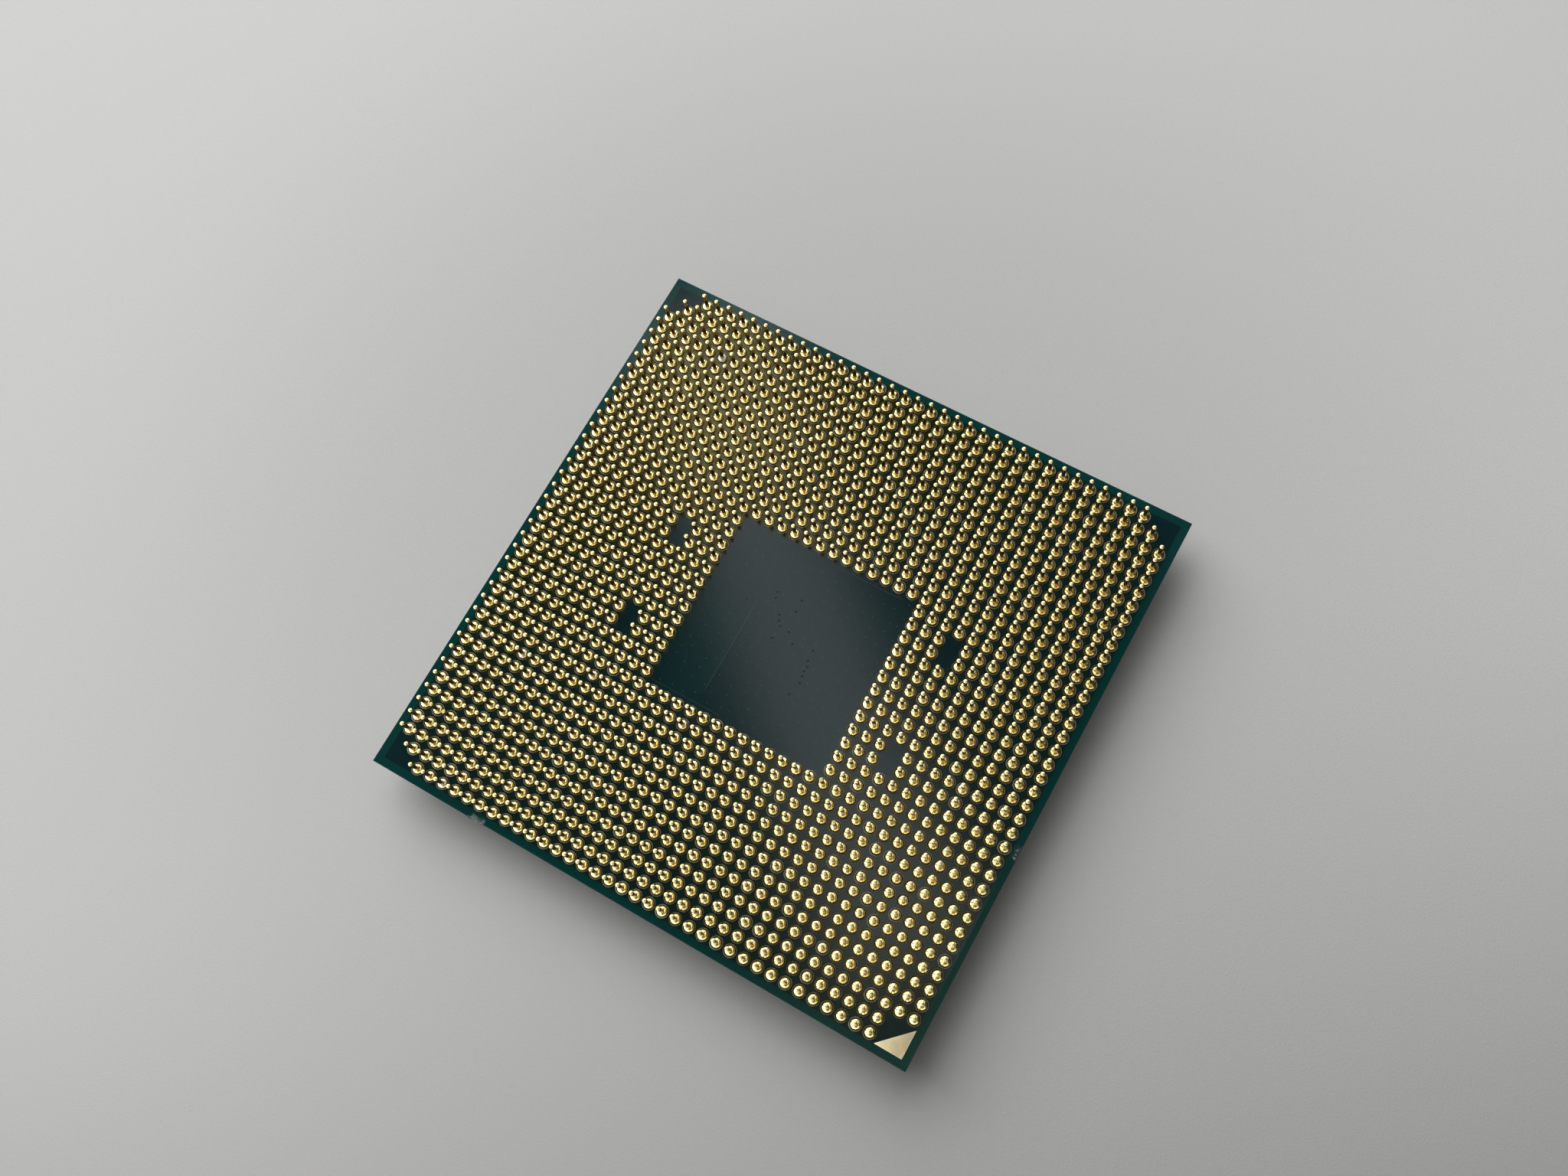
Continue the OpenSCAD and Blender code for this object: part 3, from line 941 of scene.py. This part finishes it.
class PROCESSOR_OT_heat_spreader(bpy.types.Operator):
    """Builds the plated heat spreader"""

    bl_idname = "processor.heat_spreader"
    bl_label = "Heat spreader"

    def execute(self, context):
        look = context.scene.processor_lid
        low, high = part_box("heat_spreader")
        wide = high.x - low.x
        face = wide - 2 * look.step
        inside = wide - 2 * look.foot
        ledge = high.z - look.flange
        stations = (
            (face - 2 * look.chamfer, look.face_round - look.chamfer, low.z),
            (face, look.face_round, low.z + look.chamfer),
            (face, look.face_round, ledge),
            (wide, look.flange_round, ledge),
            (wide, look.flange_round, high.z),
            (inside, look.cavity_round, high.z),
            (inside, look.cavity_round, high.z - look.cavity),
        )
        bm = bmesh.new()
        loops = [rounded_loop(bm, *station) for station in stations]
        bmesh.ops.delete(bm, geom=[inner for _, inner in loops[1:-1]], context="FACES_ONLY")
        for (first, _), (second, _) in zip(loops, loops[1:]):
            bmesh.ops.bridge_loops(bm, edges=first + second)
        bmesh.ops.recalc_face_normals(bm, faces=bm.faces)
        rounded = loops[1:2] + loops[3:6]
        soften(bm, [edge for edges, _ in rounded for edge in edges], look.edge)
        for part in bm.faces:
            part.smooth = True
        nickel = metal_material("nickel_plate", look.nickel, LONG_GRAIN)
        new_piece("heat_spreader_dressed", bm, [nickel], "heat_spreader", sharp=35)
        return {"FINISHED"}


class PROCESSOR_OT_inner_parts(bpy.types.Operator):
    """Finishes the sealant, the die stack and the capacitors under the spreader"""

    bl_idname = "processor.inner_parts"
    bl_label = "Inner parts"

    def execute(self, context):
        look = context.scene.processor_lid
        finishes = {
            "lid_sealant": filler_material("lid_sealant", look.sealant),
            "die": filler_material("die_silicon", look.silicon),
            "die_underfill": filler_material("die_underfill", look.underfill),
            "die_bond": metal_material("bond_metal", look.bond),
            "capacitor_bodies": filler_material("capacitor_ceramic", look.ceramic),
            "capacitor_terminals": metal_material("capacitor_tin", look.tin),
        }
        for node, finish in finishes.items():
            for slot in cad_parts[node].material_slots:
                slot.material = finish
        return {"FINISHED"}


def patch(graph, way, middle, inner, outer):
    """A round patch of the sky: 1 within the inner half angle of its middle, 0 beyond the outer one."""
    near = graph.vectors("DOT_PRODUCT", way, Vector(middle).normalized(), output="Value")
    return graph.smooth(near, math.cos(outer), math.cos(inner))


def add_lamp(name, middle, target, across, wide, tall, radiance):
    """Adds a soft rectangular light that faces a point, with its width along a direction."""
    data = bpy.data.lights.new(name, "AREA")
    data.shape = "RECTANGLE"
    data.size = wide
    data.size_y = tall
    data.energy = radiance * math.pi * wide * tall
    lamp = bpy.data.objects.new(name, data)
    back = (Vector(middle) - Vector(target)).normalized()
    side = (Vector(across) - back * back.dot(Vector(across))).normalized()
    turn = Matrix((side, back.cross(side), back)).transposed().to_4x4()
    lamp.matrix_world = Matrix.Translation(middle) @ turn
    bpy.context.scene.collection.objects.link(lamp)
    return lamp


class PROCESSOR_OT_stage(bpy.types.Operator):
    """Sets the floor, the lights and the camera"""

    bl_idname = "processor.stage"
    bl_label = "Stage"

    def execute(self, context):
        look = context.scene.processor_stage
        scene = context.scene
        bm = bmesh.new()
        bmesh.ops.create_grid(bm, x_segments=8, y_segments=8, size=FLOOR_HALF)
        mesh = bpy.data.meshes.new("floor")
        bm.to_mesh(mesh)
        bm.free()
        floor = bpy.data.objects.new("floor", mesh)
        scene.collection.objects.link(floor)
        mesh.materials.append(floor_material(look))

        world = bpy.data.worlds.new("studio")
        world.use_nodes = True
        scene.world = world
        g = Graph(world.node_tree)
        way = g.node("TexCoord", output="Generated")
        _, _, rise = g.split(way)
        key_way = Vector((look.key_place[0], look.key_place[1], 0.0)).normalized()
        toward_key = g.vectors("DOT_PRODUCT", way, key_way, output="Value")
        bright = 1.0 + look.slope * toward_key
        shown = look.horizon + (bright - look.horizon) * g.smooth(rise, 0.0, look.full)
        shown = look.shown * shown
        ceiling = patch(g, way, look.ceiling_way, look.ceiling_inner, look.ceiling_outer)
        shown = shown + (look.ceiling - shown) * ceiling
        shown = g.node("CombineXYZ", sockets={0: shown, 1: shown, 2: shown})
        wall = patch(g, way, look.wall_way, look.wall_inner, look.wall_outer)
        shown = g.mix(wall, shown, look.wall)
        body = patch(g, way, look.body_way, look.body_inner, look.body_outer)
        shown = g.mix(body, shown, look.body)
        fill = look.fill * (1.0 + look.fill_slope * toward_key) * g.smooth(rise, 0.0, look.fill_full)
        fill = g.node("CombineXYZ", sockets={0: fill, 1: fill, 2: fill})
        path = g.node("LightPath", output="Is Camera Ray")
        seen = g.maths("MAXIMUM", path, path.other("Is Glossy Ray"))
        seen = g.maths("MAXIMUM", seen, path.other("Is Transmission Ray"))
        sky = g.node("Background", sockets={"Color": g.mix(seen, fill, shown), "Strength": 1.0})
        g.node("OutputWorld", sockets={"Surface": sky})

        centre = Vector((0.0, 0.0, PIN_SIDE))
        key = add_lamp("key", look.key_place, centre, UP, look.key_size, look.key_size, look.key)
        key.visible_glossy = False
        stops = [Vector(stop) for stop in (look.strip_near, look.strip_bend, look.strip_far)]
        levels = {"strip": look.strip, "window": look.window}
        for (name, level), start, end in zip(levels.items(), stops, stops[1:]):
            middle = (start + end) / 2
            along = end - start
            add_lamp(name, middle, middle - UP, along, along.length, look.strip_width, level)

        data = bpy.data.cameras.new("camera")
        data.lens = look.lens
        data.sensor_width = SENSOR
        data.clip_start = NEAREST
        camera = bpy.data.objects.new("camera", data)
        sight = (Vector(look.aim) - Vector(look.camera)).to_track_quat("-Z", "Y").to_matrix().to_4x4()
        roll = Matrix.Rotation(look.roll, 4, "Z")
        camera.matrix_world = Matrix.Translation(look.camera) @ sight @ roll
        scene.collection.objects.link(camera)
        scene.camera = camera
        scene.view_settings.view_transform = "Standard"
        return {"FINISHED"}


LOOKS = {
    "processor_board": BoardLook,
    "processor_pins": PinLook,
    "processor_lid": LidLook,
    "processor_stage": StageLook,
}
STEPS = (
    PROCESSOR_OT_board,
    PROCESSOR_OT_marker,
    PROCESSOR_OT_pins,
    PROCESSOR_OT_solder,
    PROCESSOR_OT_heat_spreader,
    PROCESSOR_OT_inner_parts,
    PROCESSOR_OT_stage,
)


class PROCESSOR_PT_sidebar(bpy.types.Panel):
    """Lists the pieces of the processor and their looks"""

    bl_idname = "PROCESSOR_PT_sidebar"
    bl_label = "Desktop processor"
    bl_space_type = "VIEW_3D"
    bl_region_type = "UI"
    bl_category = "Processor"

    def draw(self, context):
        for step in STEPS:
            self.layout.operator(step.bl_idname)
        for name, group in LOOKS.items():
            box = self.layout.box()
            for value in group.__annotations__:
                box.prop(getattr(context.scene, name), value)


CLASSES = (*LOOKS.values(), *STEPS, PROCESSOR_PT_sidebar)


def register():
    for item in CLASSES:
        bpy.utils.register_class(item)
    for name, group in LOOKS.items():
        setattr(bpy.types.Scene, name, PointerProperty(type=group))


def unregister():
    for name in LOOKS:
        delattr(bpy.types.Scene, name)
    for item in reversed(CLASSES):
        bpy.utils.unregister_class(item)


def main():
    """Builds every piece and sets the stage."""
    register()
    bpy.ops.processor.board()
    bpy.ops.processor.marker()
    bpy.ops.processor.pins()
    bpy.ops.processor.solder()
    bpy.ops.processor.heat_spreader()
    bpy.ops.processor.inner_parts()
    bpy.ops.processor.stage()


if __name__ == "__main__":
    main()
